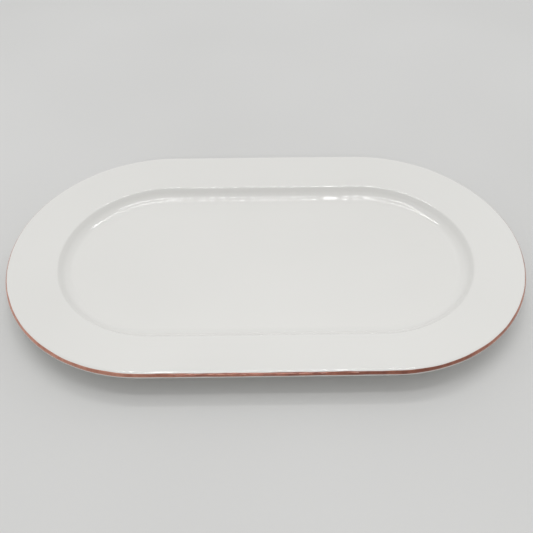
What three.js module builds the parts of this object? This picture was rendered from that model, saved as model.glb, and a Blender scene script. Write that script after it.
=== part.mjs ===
// Serving platter of glazed white china, a racetrack oval with a copper-brown edge band.
// Millimetres, +Z up, +X along the length. The origin is on the table, under the middle of the platter.
//
// Every node is one outline in (radius, height), swept round the same racetrack: two half turns,
// half of the straight side's length either way from the middle, joined by straight stretches.
// Outlines run anticlockwise: outwards along the bottom, up the outside, and back over the top.

import * as THREE from 'three';
import { mergeVertices } from 'three/addons/utils/BufferGeometryUtils.js';

// Overall sizes
const overallLength = 355.6;
const overallWidth = 209;

// Rim
const rimWidth = 31.5;        // outermost edge to the verge, where the top turns down into the well
const rimRise = 6.75;         // verge to the crown of the edge
const edgeRadius = 2.6;       // the edge is a full round
const rimThickness = 5;       // at the verge

// Copper-brown band on the outer edge
const bandThickness = 0.3;
const bandTop = THREE.MathUtils.degToRad(60);      // direction that the edge faces where the band ends
const bandBottom = THREE.MathUtils.degToRad(5);

// Well
const wellDepth = 6.8;        // verge to the flat floor
const wallSlope = THREE.MathUtils.degToRad(48);
const vergeRadius = 2.5;
const coveRadius = 12;
const floorThickness = 4.8;   // of the cove as well
const floorSeamSetback = 1.2; // seam of wall and floor, inwards from the foot of the cove
const underBlend = 1.5;       // length of the blend under the verge, each way, where the wall has room
const rimSeamSetback = 1;     // least distance of the seam of rim and wall, outwards from the verge

// Foot
const footHeight = 3;         // table to the underside of the floor
const footLedge = 0.5;        // foot of the cove to the outside of the ring
const footRootWidth = 5;
const glazeLineWidth = 4.2;   // ring's width where the glaze stops
const treadWidth = 2.6;       // flat that stands on the table
const glazeLineHeight = 0.9;

// Facets
const endSegments = 24;       // in each half turn
const edgeSteps = 5;
const bandSteps = 4;
const coveSteps = 7;
const cornerSteps = 3;

const halfTurn = Math.PI;
const quarterTurn = Math.PI / 2;

// Derived sizes
const outerRadius = overallWidth / 2;
const halfStraight = (overallLength - overallWidth) / 2;
const floorTop = footHeight + floorThickness;
const verge = [outerRadius - rimWidth, floorTop + wellDepth];
const edgeCentre = [outerRadius - edgeRadius, verge[1] + rimRise - edgeRadius];
const rimSlope = slopeOfTangent(verge, edgeCentre, edgeRadius);

// Top of the section: verge arc, straight wall, cove arc
const vergeDrop = vergeRadius * (Math.cos(rimSlope) - Math.cos(wallSlope));
const coveDrop = coveRadius * (1 - Math.cos(wallSlope));
const wallLength = (wellDepth - vergeDrop - coveDrop) / Math.sin(wallSlope);
const vergeCentre = alongSlope(verge, rimSlope - quarterTurn, vergeRadius);
const wallTop = alongSlope(vergeCentre, wallSlope + quarterTurn, vergeRadius);
const wallFoot = alongSlope(wallTop, wallSlope, -wallLength);
const coveCentre = alongSlope(wallFoot, wallSlope + quarterTurn, coveRadius);

// Underside of the section: the back of the cove and the wall, and the rim's underside, with a blend between.
// Under a thick rim the back of the cove runs straight into the rim's underside.
const backRadius = coveRadius + floorThickness;
const underVerge = alongSlope(verge, rimSlope - quarterTurn, rimThickness);
const underSlope = slopeOfTangent(underVerge, edgeCentre, -edgeRadius);
const coveHeightOverUnderside = heightOverSlope(underVerge, underSlope, coveCentre);
const meetingSlope = underSlope + Math.acos(coveHeightOverUnderside / backRadius);
const backSlope = Math.min(wallSlope, meetingSlope);
const coveBackEnd = alongSlope(coveCentre, backSlope - quarterTurn, backRadius);
const underCorner = crossing(coveBackEnd, backSlope, underVerge, underSlope);
const wallBackLength = Math.hypot(underCorner[0] - coveBackEnd[0], underCorner[1] - coveBackEnd[1]);
const blendLength = Math.min(underBlend, wallBackLength);
const blendEnd = alongSlope(underCorner, underSlope, blendLength);
const blendReach = (blendEnd[0] - underVerge[0]) / Math.cos(underSlope);
const seamBottom = alongSlope(underVerge, underSlope, Math.max(blendReach, rimSeamSetback));
const seamTop = nearestOnSlope(verge, rimSlope, seamBottom);
const floorSeam = coveCentre[0] - floorSeamSetback;
const footMiddle = coveCentre[0] - footLedge - footRootWidth / 2;

// Slope of the line from a point that touches a circle. A positive radius puts the line above the
// circle, and a negative one below it.
function slopeOfTangent(point, centre, radius) {
  const across = centre[0] - point[0];
  const up = centre[1] - point[1];
  return Math.atan2(up, across) + Math.asin(radius / Math.hypot(across, up));
}

function alongSlope(point, slope, distance) {
  return [point[0] + distance * Math.cos(slope), point[1] + distance * Math.sin(slope)];
}

// How far a target lies above the line through a point, square to the line.
function heightOverSlope(point, slope, target) {
  return (target[1] - point[1]) * Math.cos(slope) - (target[0] - point[0]) * Math.sin(slope);
}

// Foot of the perpendicular from a target to the line through a point.
function nearestOnSlope(point, slope, target) {
  const across = target[0] - point[0];
  const up = target[1] - point[1];
  return alongSlope(point, slope, across * Math.cos(slope) + up * Math.sin(slope));
}

// Where two lines cross, each given by a point and a slope.
function crossing(first, firstSlope, second, secondSlope) {
  const across = second[0] - first[0];
  const up = second[1] - first[1];
  const offset = across * Math.sin(secondSlope) - up * Math.cos(secondSlope);
  return alongSlope(first, firstSlope, offset / Math.sin(secondSlope - firstSlope));
}

function arc(centre, radius, from, to, steps) {
  const points = [];
  for (let step = 0; step <= steps; step += 1) {
    points.push(alongSlope(centre, from + (to - from) * step / steps, radius));
  }
  return points;
}

// Curve from one point to another that turns at a corner point.
function blend(from, corner, to, steps) {
  const ends = [from, corner, to].map((point) => new THREE.Vector2(...point));
  const curve = new THREE.QuadraticBezierCurve(...ends);
  return curve.getPoints(steps).map((point) => [point.x, point.y]);
}

function rimOutline() {
  const skinRadius = edgeRadius - bandThickness;
  return [
    seamBottom,
    ...arc(edgeCentre, edgeRadius, underSlope - quarterTurn, bandBottom, edgeSteps),
    ...arc(edgeCentre, skinRadius, bandBottom, bandTop, bandSteps),
    ...arc(edgeCentre, edgeRadius, bandTop, rimSlope + quarterTurn, edgeSteps),
    seamTop,
  ];
}

function edgeBandOutline() {
  return [
    ...arc(edgeCentre, edgeRadius, bandBottom, bandTop, bandSteps),
    ...arc(edgeCentre, edgeRadius - bandThickness, bandTop, bandBottom, bandSteps),
  ];
}

// The verge, the straight wall and the cove, from the top down.
function wallFace() {
  return [
    ...arc(vergeCentre, vergeRadius, rimSlope + quarterTurn, wallSlope + quarterTurn, cornerSteps),
    ...arc(coveCentre, coveRadius, wallSlope - quarterTurn, -quarterTurn, coveSteps),
  ];
}

function wellWallOutline() {
  const blendStart = alongSlope(underCorner, backSlope, -blendLength);
  return [
    [floorSeam, footHeight],
    ...arc(coveCentre, backRadius, -quarterTurn, backSlope - quarterTurn, coveSteps),
    ...blend(blendStart, underCorner, blendEnd, cornerSteps),
    seamBottom,
    seamTop,
    ...wallFace(),
    [floorSeam, floorTop],
  ];
}

function wellFloorOutline() {
  return [
    [0, footHeight],
    [floorSeam, footHeight],
    [floorSeam, floorTop],
    [0, floorTop],
  ];
}

function footRingOutline() {
  return [
    [footMiddle - glazeLineWidth / 2, glazeLineHeight],
    [footMiddle + glazeLineWidth / 2, glazeLineHeight],
    [footMiddle + footRootWidth / 2, footHeight],
    [footMiddle - footRootWidth / 2, footHeight],
  ];
}

// One side of the rounded standing edge, from the flat tread up to the glaze line.
function treadCorner(side) {
  const tread = [footMiddle + side * treadWidth / 2, 0];
  const corner = [footMiddle + side * glazeLineWidth / 2, 0];
  const glazeLine = [footMiddle + side * glazeLineWidth / 2, glazeLineHeight];
  return blend(tread, corner, glazeLine, cornerSteps);
}

function standingEdgeOutline() {
  return [...treadCorner(1), ...treadCorner(-1).reverse()];
}

// Position array of one rounded end: the outline turned half way round, then moved to its end.
function endPositions(points, side) {
  const start = side > 0 ? 0 : halfTurn;
  const end = new THREE.LatheGeometry(points, endSegments, start, halfTurn);
  end.rotateX(quarterTurn);
  end.translate(side * halfStraight, 0, 0);
  return end.attributes.position.array;
}

// Triangles left after merging, without those that shrank to a line on the axis.
function withoutFlatTriangles(geometry) {
  const corners = geometry.index.array;
  const kept = [];
  for (let first = 0; first < corners.length; first += 3) {
    const [a, b, c] = corners.slice(first, first + 3);
    if (a !== b && b !== c && c !== a) kept.push(a, b, c);
  }
  geometry.setIndex(kept);
  return geometry;
}

function racetrackSweep(outline) {
  const points = [...outline, outline[0]].map((point) => new THREE.Vector2(...point));
  const rows = points.length;
  const columns = 2 * (endSegments + 1);
  const index = [];
  for (let column = 0; column < columns; column += 1) {
    const next = (column + 1) % columns;
    for (let row = 0; row + 1 < rows; row += 1) {
      const here = column * rows + row;
      const beside = next * rows + row;
      index.push(here, beside, here + 1, beside + 1, here + 1, beside);
    }
  }
  const geometry = new THREE.BufferGeometry();
  const positions = [...endPositions(points, 1), ...endPositions(points, -1)];
  geometry.setAttribute('position', new THREE.Float32BufferAttribute(positions, 3));
  geometry.setIndex(index);
  return withoutFlatTriangles(mergeVertices(geometry));
}

const glaze = { color: 0xe6e7e3, roughness: 0.12, metalness: 0 };
const copperLustre = { color: 0x8c5a46, roughness: 0.32, metalness: 0.35 };
const bisque = { color: 0xd8cfc0, roughness: 0.85, metalness: 0 };

const platter = new THREE.Group();

function addPiece(name, outline, finish) {
  const mesh = new THREE.Mesh(racetrackSweep(outline), new THREE.MeshStandardMaterial(finish));
  mesh.name = name;
  platter.add(mesh);
}

addPiece('rim', rimOutline(), glaze);
addPiece('edge_band', edgeBandOutline(), copperLustre);
addPiece('well_wall', wellWallOutline(), glaze);
addPiece('well_floor', wellFloorOutline(), glaze);
addPiece('foot_ring', footRingOutline(), glaze);
addPiece('foot_standing_edge', standingEdgeOutline(), bisque);

export default platter;
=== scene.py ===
"""China serving platter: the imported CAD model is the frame, and every visible piece is a finer mesh.

Each piece is one outline in (radius, height), swept round the platter's racetrack. The six pieces share
the same section, so they meet edge to edge. Metres, +Z up, the platter's length along X.
"""
import math

import bmesh
import bpy
from mathutils import Matrix, Vector


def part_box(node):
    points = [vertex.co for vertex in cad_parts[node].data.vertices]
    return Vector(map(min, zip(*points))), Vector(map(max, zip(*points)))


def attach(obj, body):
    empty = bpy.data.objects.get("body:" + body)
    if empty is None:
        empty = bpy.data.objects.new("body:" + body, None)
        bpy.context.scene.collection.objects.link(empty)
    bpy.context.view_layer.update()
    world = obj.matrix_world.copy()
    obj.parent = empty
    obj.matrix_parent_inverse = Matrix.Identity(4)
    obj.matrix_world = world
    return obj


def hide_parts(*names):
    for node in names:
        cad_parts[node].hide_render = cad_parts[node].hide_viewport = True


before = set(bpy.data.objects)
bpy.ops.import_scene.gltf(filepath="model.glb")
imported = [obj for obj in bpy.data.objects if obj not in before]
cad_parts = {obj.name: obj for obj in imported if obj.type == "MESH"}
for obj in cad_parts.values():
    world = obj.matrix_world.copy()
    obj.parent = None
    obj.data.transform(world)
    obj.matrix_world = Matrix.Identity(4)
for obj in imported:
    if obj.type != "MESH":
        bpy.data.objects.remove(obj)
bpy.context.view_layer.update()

MM = 0.001
QUARTER_TURN = math.pi / 2

# Section of the platter, the same sizes as the CAD model's
RIM_WIDTH = 31.5 * MM
EDGE_RADIUS = 2.6 * MM
RIM_THICKNESS = 5 * MM
BAND_THICKNESS = 0.3 * MM
BAND_TOP = math.radians(60)
BAND_BOTTOM = math.radians(5)
VERGE_RADIUS = 2.5 * MM
COVE_RADIUS = 12 * MM
WALL_SLOPE = math.radians(48)
WELL_DEPTH = 6.8 * MM
FLOOR_SEAM_SETBACK = 1.2 * MM
UNDER_BLEND = 1.5 * MM
FOOT_LEDGE = 0.5 * MM
FOOT_ROOT_WIDTH = 5 * MM
GLAZE_LINE_WIDTH = 4.2 * MM
TREAD_WIDTH = 2.6 * MM

# Places taken from the CAD model
RIM_LOW, RIM_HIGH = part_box("rim")
FLOOR_LOW, FLOOR_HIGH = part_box("well_floor")
GLAZE_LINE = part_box("foot_standing_edge")[1].z
OUTER_RADIUS = RIM_HIGH.y
HALF_STRAIGHT = RIM_HIGH.x - RIM_HIGH.y
CROWN = RIM_HIGH.z
FLOOR_TOP = FLOOR_HIGH.z
FLOOR_UNDER = FLOOR_LOW.z

# How fine the meshes are: steps round the racetrack, then along each stretch of an outline
END_STEPS = 96
SIDE_STEPS = 60
RIM_TOP_STEPS = 24
RIM_UNDER_STEPS = 16
EDGE_ABOVE_BAND_STEPS = 14
EDGE_BELOW_BAND_STEPS = 18
BAND_FACE_STEPS = 16
BAND_BACK_STEPS = 10
RIM_SEAM_STEPS = 4
RIM_TO_VERGE_STEPS = 5
VERGE_STEPS = 16
WALL_STEPS = 5
COVE_STEPS = 32
COVE_BACK_STEPS = 24
WALL_BACK_STEPS = 3
BLEND_STEPS = 12
SETBACK_STEPS = 2
FLOOR_SEAM_STEPS = 3
FLOOR_STEPS = 24
FOOT_SIDE_STEPS = 5
TREAD_CORNER_STEPS = 8
WELD_DISTANCE = 0.001 * MM
SHARP_ANGLE = math.radians(40)

# The hand of the maker
BAND_STRAY = math.radians(3)     # most that an edge of the painted band strays, round the edge
LOW_EDGE_LEAD = 0.37             # its lower edge strays as the upper one does this part of a turn further on
RIM_SINK = 0.35 * MM             # about how far the rim's crown sank in the kiln; the most is nearly double


# ---------------------------------------------------------------- section

def along_slope(point, slope, distance):
    return (point[0] + distance * math.cos(slope), point[1] + distance * math.sin(slope))


def slope_of_tangent(point, centre, radius):
    """Slope of the line from a point that touches a circle, above it for a positive radius."""
    across = centre[0] - point[0]
    up = centre[1] - point[1]
    return math.atan2(up, across) + math.asin(radius / math.hypot(across, up))


def nearest_on_slope(point, slope, target):
    across = target[0] - point[0]
    up = target[1] - point[1]
    return along_slope(point, slope, across * math.cos(slope) + up * math.sin(slope))


def arc(centre, radius, start, end, steps):
    return [along_slope(centre, start + (end - start) * i / steps, radius) for i in range(steps + 1)]


def line(start, end, steps):
    """Points from start to end, without the two ends."""
    return [
        (start[0] + (end[0] - start[0]) * i / steps, start[1] + (end[1] - start[1]) * i / steps)
        for i in range(1, steps)
    ]


def blend(start, corner, end, steps):
    """Quadratic curve from start to end that turns at the corner."""
    points = []
    for i in range(steps + 1):
        t = i / steps
        a, b, c = (1 - t) ** 2, 2 * t * (1 - t), t ** 2
        points.append((a * start[0] + b * corner[0] + c * end[0], a * start[1] + b * corner[1] + c * end[1]))
    return points


def crossing(first, first_slope, second, second_slope):
    """Where two lines cross, each given by a point and a slope."""
    across = second[0] - first[0]
    up = second[1] - first[1]
    offset = across * math.sin(second_slope) - up * math.cos(second_slope)
    return along_slope(first, first_slope, offset / math.sin(second_slope - first_slope))


# Top of the section: rim, verge arc, straight wall, cove arc
VERGE = (OUTER_RADIUS - RIM_WIDTH, FLOOR_TOP + WELL_DEPTH)
EDGE_CENTRE = (OUTER_RADIUS - EDGE_RADIUS, CROWN - EDGE_RADIUS)
RIM_SLOPE = slope_of_tangent(VERGE, EDGE_CENTRE, EDGE_RADIUS)
VERGE_DROP = VERGE_RADIUS * (math.cos(RIM_SLOPE) - math.cos(WALL_SLOPE))
COVE_DROP = COVE_RADIUS * (1 - math.cos(WALL_SLOPE))
WALL_LENGTH = (WELL_DEPTH - VERGE_DROP - COVE_DROP) / math.sin(WALL_SLOPE)
VERGE_CENTRE = along_slope(VERGE, RIM_SLOPE - QUARTER_TURN, VERGE_RADIUS)
WALL_TOP = along_slope(VERGE_CENTRE, WALL_SLOPE + QUARTER_TURN, VERGE_RADIUS)
WALL_FOOT = along_slope(WALL_TOP, WALL_SLOPE, -WALL_LENGTH)
COVE_CENTRE = along_slope(WALL_FOOT, WALL_SLOPE + QUARTER_TURN, COVE_RADIUS)
COVE_END = (COVE_CENTRE[0], FLOOR_TOP)
FLOOR_SEAM = COVE_END[0] - FLOOR_SEAM_SETBACK

# Underside of the section: the back of the cove and the wall, and the rim's underside, with a blend between
BACK_RADIUS = COVE_RADIUS + FLOOR_TOP - FLOOR_UNDER
COVE_BACK_END = along_slope(COVE_CENTRE, WALL_SLOPE - QUARTER_TURN, BACK_RADIUS)
UNDER_VERGE = along_slope(VERGE, RIM_SLOPE - QUARTER_TURN, RIM_THICKNESS)
UNDER_SLOPE = slope_of_tangent(UNDER_VERGE, EDGE_CENTRE, -EDGE_RADIUS)
UNDER_CORNER = crossing(COVE_BACK_END, WALL_SLOPE, UNDER_VERGE, UNDER_SLOPE)
BLEND_START = along_slope(UNDER_CORNER, WALL_SLOPE, -UNDER_BLEND)
SEAM_BOTTOM = along_slope(UNDER_CORNER, UNDER_SLOPE, UNDER_BLEND)
SEAM_TOP = nearest_on_slope(VERGE, RIM_SLOPE, SEAM_BOTTOM)
FOOT_MIDDLE = COVE_END[0] - FOOT_LEDGE - FOOT_ROOT_WIDTH / 2


# ---------------------------------------------------------------- the hand of the maker

def band_waver(turn):
    """How far an edge of the painted band strays round the platter's edge, at a fraction of a turn."""
    angle = 2 * math.pi * turn
    return (0.6 * math.sin(23 * angle + 0.7) + 0.4 * math.sin(57 * angle + 2.1)) * BAND_STRAY


def band_edges(turn):
    """Directions that the platter's edge faces where the painted band starts and ends."""
    return BAND_BOTTOM + band_waver(turn + LOW_EDGE_LEAD), BAND_TOP + band_waver(turn)


def fired_warp(point):
    """The point as it came from the kiln. It sank more the higher it is over the well's floor, and unevenly.
    """
    high = max(0.0, (point.z - FLOOR_TOP) / (CROWN - FLOOR_TOP))
    angle = math.atan2(point.y / OUTER_RADIUS, point.x / RIM_HIGH.x)
    wave = 0.5 * math.cos(2 * angle + 0.4) + 0.3 * math.sin(5 * angle + 1.0) + 0.2 * math.sin(9 * angle)
    return Vector((point.x, point.y, point.z - RIM_SINK * high ** 2 * (1 - wave)))


# ---------------------------------------------------------------- outlines

def rim_outline(turn):
    skin = EDGE_RADIUS - BAND_THICKNESS
    low, high = band_edges(turn)
    edge_bottom = along_slope(EDGE_CENTRE, UNDER_SLOPE - QUARTER_TURN, EDGE_RADIUS)
    edge_top = along_slope(EDGE_CENTRE, RIM_SLOPE + QUARTER_TURN, EDGE_RADIUS)
    return (
        [SEAM_BOTTOM]
        + line(SEAM_BOTTOM, edge_bottom, RIM_UNDER_STEPS)
        + arc(EDGE_CENTRE, EDGE_RADIUS, UNDER_SLOPE - QUARTER_TURN, low, EDGE_BELOW_BAND_STEPS)
        + arc(EDGE_CENTRE, skin, low, high, BAND_BACK_STEPS)
        + arc(EDGE_CENTRE, EDGE_RADIUS, high, RIM_SLOPE + QUARTER_TURN, EDGE_ABOVE_BAND_STEPS)
        + line(edge_top, SEAM_TOP, RIM_TOP_STEPS)
        + [SEAM_TOP]
        + line(SEAM_TOP, SEAM_BOTTOM, RIM_SEAM_STEPS)
    )


def edge_band_outline(turn):
    skin = EDGE_RADIUS - BAND_THICKNESS
    low, high = band_edges(turn)
    face = arc(EDGE_CENTRE, EDGE_RADIUS, low, high, BAND_FACE_STEPS)
    return face + arc(EDGE_CENTRE, skin, high, low, BAND_BACK_STEPS)


def well_wall_outline():
    seam_foot = (FLOOR_SEAM, FLOOR_UNDER)
    seam_head = (FLOOR_SEAM, FLOOR_TOP)
    cove_back_foot = (COVE_END[0], FLOOR_UNDER)
    return (
        [seam_foot]
        + line(seam_foot, cove_back_foot, SETBACK_STEPS)
        + arc(COVE_CENTRE, BACK_RADIUS, -QUARTER_TURN, WALL_SLOPE - QUARTER_TURN, COVE_BACK_STEPS)
        + line(COVE_BACK_END, BLEND_START, WALL_BACK_STEPS)
        + blend(BLEND_START, UNDER_CORNER, SEAM_BOTTOM, BLEND_STEPS)
        + line(SEAM_BOTTOM, SEAM_TOP, RIM_SEAM_STEPS)
        + [SEAM_TOP]
        + line(SEAM_TOP, VERGE, RIM_TO_VERGE_STEPS)
        + arc(VERGE_CENTRE, VERGE_RADIUS, RIM_SLOPE + QUARTER_TURN, WALL_SLOPE + QUARTER_TURN, VERGE_STEPS)
        + line(WALL_TOP, WALL_FOOT, WALL_STEPS)
        + arc(COVE_CENTRE, COVE_RADIUS, WALL_SLOPE - QUARTER_TURN, -QUARTER_TURN, COVE_STEPS)
        + line(COVE_END, seam_head, SETBACK_STEPS)
        + [seam_head]
        + line(seam_head, seam_foot, FLOOR_SEAM_STEPS)
    )


def well_floor_outline():
    foot = (FLOOR_SEAM, FLOOR_UNDER)
    head = (FLOOR_SEAM, FLOOR_TOP)
    return (
        [(0.0, FLOOR_UNDER)]
        + line((0.0, FLOOR_UNDER), foot, FLOOR_STEPS)
        + [foot]
        + line(foot, head, FLOOR_SEAM_STEPS)
        + [head]
        + line(head, (0.0, FLOOR_TOP), FLOOR_STEPS)
        + [(0.0, FLOOR_TOP)]
    )


def foot_ring_outline():
    root = FOOT_ROOT_WIDTH / 2
    glaze = GLAZE_LINE_WIDTH / 2
    corners = [
        (FOOT_MIDDLE - glaze, GLAZE_LINE),
        (FOOT_MIDDLE + glaze, GLAZE_LINE),
        (FOOT_MIDDLE + root, FLOOR_UNDER),
        (FOOT_MIDDLE - root, FLOOR_UNDER),
    ]
    points = []
    for corner, following in zip(corners, corners[1:] + corners[:1]):
        points += [corner] + line(corner, following, FOOT_SIDE_STEPS)
    return points


def tread_corner(side):
    """One side of the rounded standing edge, from the flat tread up to the glaze line."""
    tread = FOOT_MIDDLE + side * TREAD_WIDTH / 2
    edge = FOOT_MIDDLE + side * GLAZE_LINE_WIDTH / 2
    return blend((tread, 0.0), (edge, 0.0), (edge, GLAZE_LINE), TREAD_CORNER_STEPS)


def standing_edge_outline():
    return tread_corner(1) + tread_corner(-1)[::-1]


def all_round(outline):
    """The same outline at every place round the platter."""
    return lambda turn: outline


# ---------------------------------------------------------------- sweeping

def stations():
    """Places round the racetrack, anticlockwise: centre of the turn along X, and the direction out of it."""
    places = []
    for side in (1, -1):
        start = -QUARTER_TURN if side > 0 else QUARTER_TURN
        for i in range(END_STEPS + 1):
            places.append((side * HALF_STRAIGHT, start + math.pi * i / END_STEPS))
        for i in range(1, SIDE_STEPS):
            places.append((side * HALF_STRAIGHT * (1 - 2 * i / SIDE_STEPS), start + math.pi))
    return places


def sweep(name, outline_at, closed=True):
    """A mesh of an outline swept round the racetrack. The outline is asked for at each fraction of a turn,
    and an open one starts and ends on the axis."""
    bm = bmesh.new()
    places = stations()
    columns = []
    for number, (middle, out) in enumerate(places):
        column = []
        for radius, height in outline_at(number / len(places)):
            point = Vector((middle + radius * math.cos(out), radius * math.sin(out), height))
            column.append(bm.verts.new(fired_warp(point)))
        columns.append(column)
    for column, beside in zip(columns, columns[1:] + columns[:1]):
        rows = len(column)
        for row in range(rows if closed else rows - 1):
            above = (row + 1) % rows
            bm.faces.new((column[row], beside[row], beside[above], column[above]))
    bmesh.ops.remove_doubles(bm, verts=bm.verts, dist=WELD_DISTANCE)
    bmesh.ops.dissolve_degenerate(bm, edges=bm.edges, dist=WELD_DISTANCE)
    bmesh.ops.recalc_face_normals(bm, faces=bm.faces)
    mesh = bpy.data.meshes.new(name)
    bm.to_mesh(mesh)
    bm.free()
    mesh.polygons.foreach_set("use_smooth", [True] * len(mesh.polygons))
    mesh.set_sharp_from_angle(angle=SHARP_ANGLE)
    piece = bpy.data.objects.new(name, mesh)
    bpy.context.scene.collection.objects.link(piece)
    return piece


# ---------------------------------------------------------------- materials

# Most of a noise texture's values lie between these
NOISE_LOW = 0.3
NOISE_HIGH = 0.7

# The Mix node has sockets of the same name for each type of data. These are the colour ones.
MIX_COLOUR_INPUTS = (6, 7)
MIX_COLOUR_OUTPUT = 2

# Colours, in linear light
GLAZE_DULL = (0.785, 0.780, 0.753)
GLAZE_BRIGHT = (0.803, 0.798, 0.771)
IRON_SPECK = (0.30, 0.24, 0.18)
# Lit and shaded copies of the copper band's colour: painted sheen and painted shade
SHADED_COPPER_DULL = (0.15, 0.034, 0.018)
SHADED_COPPER_BRIGHT = (0.34, 0.105, 0.058)
LIT_COPPER_DULL = (0.46, 0.17, 0.11)
LIT_COPPER_BRIGHT = (0.74, 0.36, 0.26)
CLAY_DULL = (0.60, 0.52, 0.42)
CLAY_BRIGHT = (0.76, 0.70, 0.60)
CLAY_WORN = (0.42, 0.36, 0.29)
TABLE_DULL = (0.66, 0.66, 0.65)
TABLE_BRIGHT = (0.70, 0.70, 0.69)

# Painted sheen and painted shade on the copper band, along the platter from its -X end: 1 is the lit, pinker
# colour, 0 the shaded, darker one
COPPER_SHEEN_ALONG_LENGTH = ((0.10, 1.0), (0.50, 0.25), (0.75, 0.1), (0.95, 0.7))


def grey(level):
    return (level, level, level)


def fill_ramp(ramp, stops):
    """Gives a new colour ramp its stops, each a position and a colour."""
    while len(ramp.elements) < len(stops):
        ramp.elements.new(0.5)
    for element, (position, colour) in zip(ramp.elements, stops):
        element.position = position
        element.color = (*colour, 1.0)


class Surface:
    """A node material: a Principled shader whose sockets take constants or textures in object space."""

    def __init__(self, name):
        self.material = bpy.data.materials.new(name)
        self.material.use_nodes = True
        self.tree = self.material.node_tree
        self.shader = self.tree.nodes["Principled BSDF"]
        self.place = self.tree.nodes.new("ShaderNodeTexCoord").outputs["Object"]

    def constants(self, **values):
        for socket, value in values.items():
            self.shader.inputs[socket.replace("_", " ")].default_value = value

    def noise(self, per_metre, detail=2.0, roughness=0.5):
        """Smooth noise from 0 to 1, its coarsest features this many to the metre."""
        node = self.tree.nodes.new("ShaderNodeTexNoise")
        node.inputs["Scale"].default_value = per_metre
        node.inputs["Detail"].default_value = detail
        node.inputs["Roughness"].default_value = roughness
        self.tree.links.new(self.place, node.inputs["Vector"])
        return node.outputs["Fac"]

    def along_length(self):
        """0 at the platter's -X end, 1 at its +X end."""
        node = self.tree.nodes.new("ShaderNodeSeparateXYZ")
        self.tree.links.new(self.place, node.inputs["Vector"])
        return self.remap(node.outputs["X"], RIM_LOW.x, RIM_HIGH.x, 0.0, 1.0)

    def spots(self, per_metre, radius, core):
        """1 in the core of small scattered spots, 0 outside them. The radius is a share of the spacing, and
        the core a share of the radius."""
        node = self.tree.nodes.new("ShaderNodeTexVoronoi")
        node.inputs["Scale"].default_value = per_metre
        self.tree.links.new(self.place, node.inputs["Vector"])
        return self.remap(node.outputs["Distance"], radius, radius * core, 0.0, 1.0)

    def remap(self, value, low, high, to_low, to_high):
        node = self.tree.nodes.new("ShaderNodeMapRange")
        node.inputs["From Min"].default_value = low
        node.inputs["From Max"].default_value = high
        node.inputs["To Min"].default_value = to_low
        node.inputs["To Max"].default_value = to_high
        self.tree.links.new(value, node.inputs["Value"])
        return node.outputs["Result"]

    def vary(self, noise, lowest, highest):
        """A number that follows a noise texture from lowest to highest."""
        return self.remap(noise, NOISE_LOW, NOISE_HIGH, lowest, highest)

    def ramp(self, value, stops):
        node = self.tree.nodes.new("ShaderNodeValToRGB")
        fill_ramp(node.color_ramp, stops)
        self.tree.links.new(value, node.inputs["Fac"])
        return node.outputs["Color"]

    def shade(self, noise, dull, bright):
        """A colour that follows a noise texture from dull to bright."""
        return self.ramp(noise, ((NOISE_LOW, dull), (NOISE_HIGH, bright)))

    def mix(self, amount, first, second):
        node = self.tree.nodes.new("ShaderNodeMix")
        node.data_type = "RGBA"
        self.tree.links.new(amount, node.inputs["Factor"])
        for number, colour in zip(MIX_COLOUR_INPUTS, (first, second)):
            if isinstance(colour, tuple):
                node.inputs[number].default_value = (*colour, 1.0)
            else:
                self.tree.links.new(colour, node.inputs[number])
        return node.outputs[MIX_COLOUR_OUTPUT]

    def bump(self, height, distance, under=None):
        """A normal bumped by a texture whose range from 0 to 1 is this distance high."""
        node = self.tree.nodes.new("ShaderNodeBump")
        node.inputs["Distance"].default_value = distance
        self.tree.links.new(height, node.inputs["Height"])
        if under is not None:
            self.tree.links.new(under, node.inputs["Normal"])
        return node.outputs["Normal"]

    def feed(self, socket, value):
        self.tree.links.new(value, self.shader.inputs[socket])


def white_glaze():
    surface = Surface("white_glaze")
    surface.constants(IOR=1.5, Coat_Weight=0.3, Coat_Roughness=0.02)
    body = surface.shade(surface.noise(9, detail=3), GLAZE_DULL, GLAZE_BRIGHT)
    specks = surface.spots(16, radius=0.006, core=0.6)
    surface.feed("Base Color", surface.mix(specks, body, IRON_SPECK))
    surface.feed("Roughness", surface.vary(surface.noise(70), 0.015, 0.045))
    sway = surface.bump(surface.noise(22, detail=1), 0.12 * MM)
    surface.feed("Normal", surface.bump(surface.noise(420, detail=1), 0.002 * MM, under=sway))
    return surface.material


def copper_lustre():
    """Lustre with painted light: a painted sheen makes it lighter and pink at the -X end, painted shade
    makes it darkest past the middle, and it is lighter again at the +X end.
    """
    surface = Surface("copper_lustre")
    surface.constants(Metallic=0.35, IOR=1.5, Coat_Weight=0.8, Coat_Roughness=0.03)
    strokes = surface.noise(140, detail=5, roughness=0.65)
    # Shaded and lit copies of the copper, each with its own brush-stroke tone: painted shade and painted
    # sheen
    shaded_copper = surface.shade(strokes, SHADED_COPPER_DULL, SHADED_COPPER_BRIGHT)
    lit_copper = surface.shade(strokes, LIT_COPPER_DULL, LIT_COPPER_BRIGHT)
    # Painted sheen and shade along the band: lighter and pinker towards the -X end, darkest past the middle
    stops = [(place, grey(sheen_level)) for place, sheen_level in COPPER_SHEEN_ALONG_LENGTH]
    painted_sheen = surface.ramp(surface.along_length(), stops)
    surface.feed("Base Color", surface.mix(painted_sheen, shaded_copper, lit_copper))
    surface.feed("Roughness", surface.vary(surface.noise(600, detail=3), 0.03, 0.09))
    surface.feed("Normal", surface.bump(surface.noise(900, detail=3), 0.002 * MM))
    return surface.material


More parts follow.
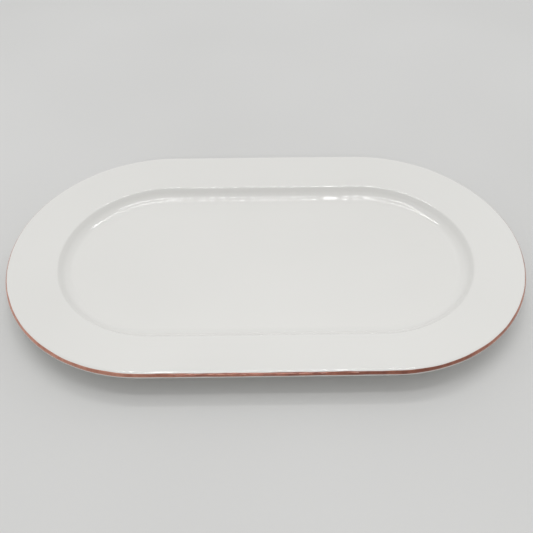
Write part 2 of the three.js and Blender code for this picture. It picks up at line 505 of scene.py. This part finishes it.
def bisque():
    """Bare fired clay, worn darker in patches."""
    surface = Surface("bisque")
    surface.constants(IOR=1.45)
    grain = surface.noise(1500, detail=6, roughness=0.7)
    clay = surface.shade(grain, CLAY_DULL, CLAY_BRIGHT)
    wear = surface.remap(surface.noise(60, detail=4), 0.55, 0.75, 0.0, 0.5)
    surface.feed("Base Color", surface.mix(wear, clay, CLAY_WORN))
    surface.feed("Roughness", surface.vary(grain, 0.75, 0.95))
    surface.feed("Normal", surface.bump(grain, 0.03 * MM))
    return surface.material


def table_paint():
    surface = Surface("table_paint")
    surface.feed("Base Color", surface.shade(surface.noise(3, detail=2), TABLE_DULL, TABLE_BRIGHT))
    surface.feed("Roughness", surface.vary(surface.noise(300), 0.75, 0.9))
    return surface.material


# ---------------------------------------------------------------- camera, floor and lights

# The camera stands over the near long side and looks down into the well.
CAMERA_ELEVATION = math.radians(46.93)
CAMERA_AZIMUTH = math.radians(-0.41)
CAMERA_ROLL = math.radians(-0.33)
CAMERA_DISTANCE = 377.9 * MM
CAMERA_LENS_MM = 37.81
CAMERA_SENSOR_MM = 36.0
CAMERA_CLIP_START = 0.01
CAMERA_TARGET = Vector((0.17 * MM, -20.36 * MM, CROWN - EDGE_RADIUS * (1 - math.sin(BAND_TOP))))

FLOOR_REACH = 3.0     # from the platter to each side of the floor
FLOOR_CELLS = 8


def direction(azimuth, elevation):
    """Unit vector from the platter, azimuth 0 towards -Y and turning towards +X."""
    return Vector((
        math.sin(azimuth) * math.cos(elevation),
        -math.cos(azimuth) * math.cos(elevation),
        math.sin(elevation),
    ))


def make_camera():
    back = direction(CAMERA_AZIMUTH, CAMERA_ELEVATION)
    level = Vector((math.cos(CAMERA_AZIMUTH), math.sin(CAMERA_AZIMUTH), 0.0))
    turn = Matrix.Rotation(CAMERA_ROLL, 3, back)
    right = turn @ level
    up = back.cross(right)
    data = bpy.data.cameras.new("camera")
    data.sensor_width = CAMERA_SENSOR_MM
    data.lens = CAMERA_LENS_MM
    data.clip_start = CAMERA_CLIP_START
    camera = bpy.data.objects.new("camera", data)
    place = Matrix((right, up, back)).transposed().to_4x4()
    place.translation = CAMERA_TARGET + back * CAMERA_DISTANCE
    camera.matrix_world = place
    bpy.context.scene.collection.objects.link(camera)
    bpy.context.scene.camera = camera


def make_floor():
    bm = bmesh.new()
    bmesh.ops.create_grid(bm, x_segments=FLOOR_CELLS, y_segments=FLOOR_CELLS, size=FLOOR_REACH)
    mesh = bpy.data.meshes.new("floor")
    bm.to_mesh(mesh)
    bm.free()
    floor = bpy.data.objects.new("floor", mesh)
    bpy.context.scene.collection.objects.link(floor)
    mesh.materials.append(table_paint())


def panel_light(name, place, target, width, depth, radiance):
    """A rectangular lamp of a given brightness that faces the target, its width as near to X as can be."""
    data = bpy.data.lights.new(name, "AREA")
    data.shape = "RECTANGLE"
    data.size = width
    data.size_y = depth
    data.energy = radiance * math.pi * width * depth
    away = (Vector(place) - Vector(target)).normalized()
    across = Vector((1.0, 0.0, 0.0)) - away * away.x
    across.normalize()
    lamp = bpy.data.objects.new(name, data)
    lamp.matrix_world = Matrix((across, away.cross(across), away)).transposed().to_4x4()
    lamp.matrix_world.translation = place
    bpy.context.scene.collection.objects.link(lamp)


# Two rows of small lamps run along X over the platter, one nearly straight up and one towards the back. A
# shorter row is low in front. In two places a panel spans the ceiling rows in place of the lamps.
# Each row's angle is counted from the horizon behind, up and over.
LAMP_DISTANCE = 3.0
LAMP_PITCH = 0.0617
LAMP_WIDTH = 0.036
LAMP_DEPTH = 0.13
ROW_BACK = math.radians(68.5)
ROW_TOP = math.radians(91)
ROW_FRONT = math.radians(146)
CEILING_LAMPS = (-15, 15)                    # first and last in a row, counted along X from the middle
FRONT_LAMPS = (-9, 8)
ROW_RADIANCE = 20
FRONT_RADIANCE = 26
PANELS = ((-0.59, 0.125), (0.41, 0.085))     # middle along X, and width
PANEL_RADIANCE = 9

# Brightness of the tent: stops at the cosine of the angle from its brightest point, which is high behind
TENT_BRIGHTEST = math.radians(60)
TENT_DARK_COSINE = -0.2
TENT_STOPS = ((-0.2, 0.33), (0.2, 0.48), (0.5, 0.65), (0.7, 0.79), (0.85, 0.79), (0.93, 0.60), (1.0, 0.92))


def behind(elevation):
    """Direction in the plane across the platter, its elevation counted from the horizon behind."""
    return direction(math.pi, elevation)


def lamp_row(name, elevation, ends, radiance):
    first, last = ends
    place = behind(elevation) * LAMP_DISTANCE
    for number in range(first, last + 1):
        offset = number * LAMP_PITCH
        if all(abs(offset - middle) > (width + LAMP_WIDTH) / 2 for middle, width in PANELS):
            spot = place + Vector((offset, 0.0, 0.0))
            panel_light(f"{name}_{number}", spot, (offset, 0, 0), LAMP_WIDTH, LAMP_DEPTH, radiance)


def make_lamps():
    lamp_row("back_lamp", ROW_BACK, CEILING_LAMPS, ROW_RADIANCE)
    lamp_row("top_lamp", ROW_TOP, CEILING_LAMPS, ROW_RADIANCE)
    lamp_row("front_lamp", ROW_FRONT, FRONT_LAMPS, FRONT_RADIANCE)
    depth = 2 * LAMP_DISTANCE * math.tan((ROW_TOP - ROW_BACK) / 2)
    for number, (offset, width) in enumerate(PANELS):
        place = behind((ROW_BACK + ROW_TOP) / 2) * LAMP_DISTANCE + Vector((offset, 0.0, 0.0))
        panel_light(f"panel_{number}", place, (offset, 0, 0), width, depth, PANEL_RADIANCE)


def make_tent():
    """Soft light from all round: a small bright patch high behind the platter, a dimmer ring about it, then
    a broad bright zone that fades towards the front and the floor."""
    world = bpy.data.worlds.new("studio")
    world.use_nodes = True
    tree = world.node_tree
    place = tree.nodes.new("ShaderNodeTexCoord").outputs["Generated"]
    towards = tree.nodes.new("ShaderNodeVectorMath")
    towards.operation = "DOT_PRODUCT"
    tree.links.new(place, towards.inputs[0])
    towards.inputs[1].default_value = behind(TENT_BRIGHTEST)
    spread = tree.nodes.new("ShaderNodeMapRange")
    spread.inputs["From Min"].default_value = TENT_DARK_COSINE
    tree.links.new(towards.outputs["Value"], spread.inputs["Value"])
    strength = tree.nodes.new("ShaderNodeValToRGB")
    reach = 1 - TENT_DARK_COSINE
    stops = [((cosine - TENT_DARK_COSINE) / reach, grey(level)) for cosine, level in TENT_STOPS]
    fill_ramp(strength.color_ramp, stops)
    tree.links.new(spread.outputs["Result"], strength.inputs["Fac"])
    tree.links.new(strength.outputs["Color"], tree.nodes["Background"].inputs["Strength"])
    tree.nodes["Background"].inputs["Color"].default_value = (1.0, 1.0, 1.0, 1.0)
    bpy.context.scene.world = world


def make_lights():
    make_tent()
    make_lamps()


# ---------------------------------------------------------------- the platter

def make_platter():
    glaze = white_glaze()
    copper = copper_lustre()
    clay = bisque()
    well_wall = all_round(well_wall_outline())
    well_floor = all_round(well_floor_outline())
    foot_ring = all_round(foot_ring_outline())
    standing_edge = all_round(standing_edge_outline())
    parts = [
        ("rim_glazed", "rim", rim_outline, glaze, "white_glaze"),
        ("edge_band_painted", "edge_band", edge_band_outline, copper, "copper_lustre"),
        ("well_wall_glazed", "well_wall", well_wall, glaze, "white_glaze"),
        ("well_floor_glazed", "well_floor", well_floor, glaze, "white_glaze"),
        ("foot_ring_glazed", "foot_ring", foot_ring, glaze, "white_glaze"),
        ("foot_standing_edge_bisque", "foot_standing_edge", standing_edge, clay, "bisque"),
    ]
    for name, node, outline_at, material, slot in parts:
        piece = sweep(name, outline_at, closed=node != "well_floor")
        piece.data.materials.append(material)
        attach(piece, "root")
        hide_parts(node)


bpy.context.scene.view_settings.view_transform = "Standard"
make_camera()
make_floor()
make_lights()
make_platter()
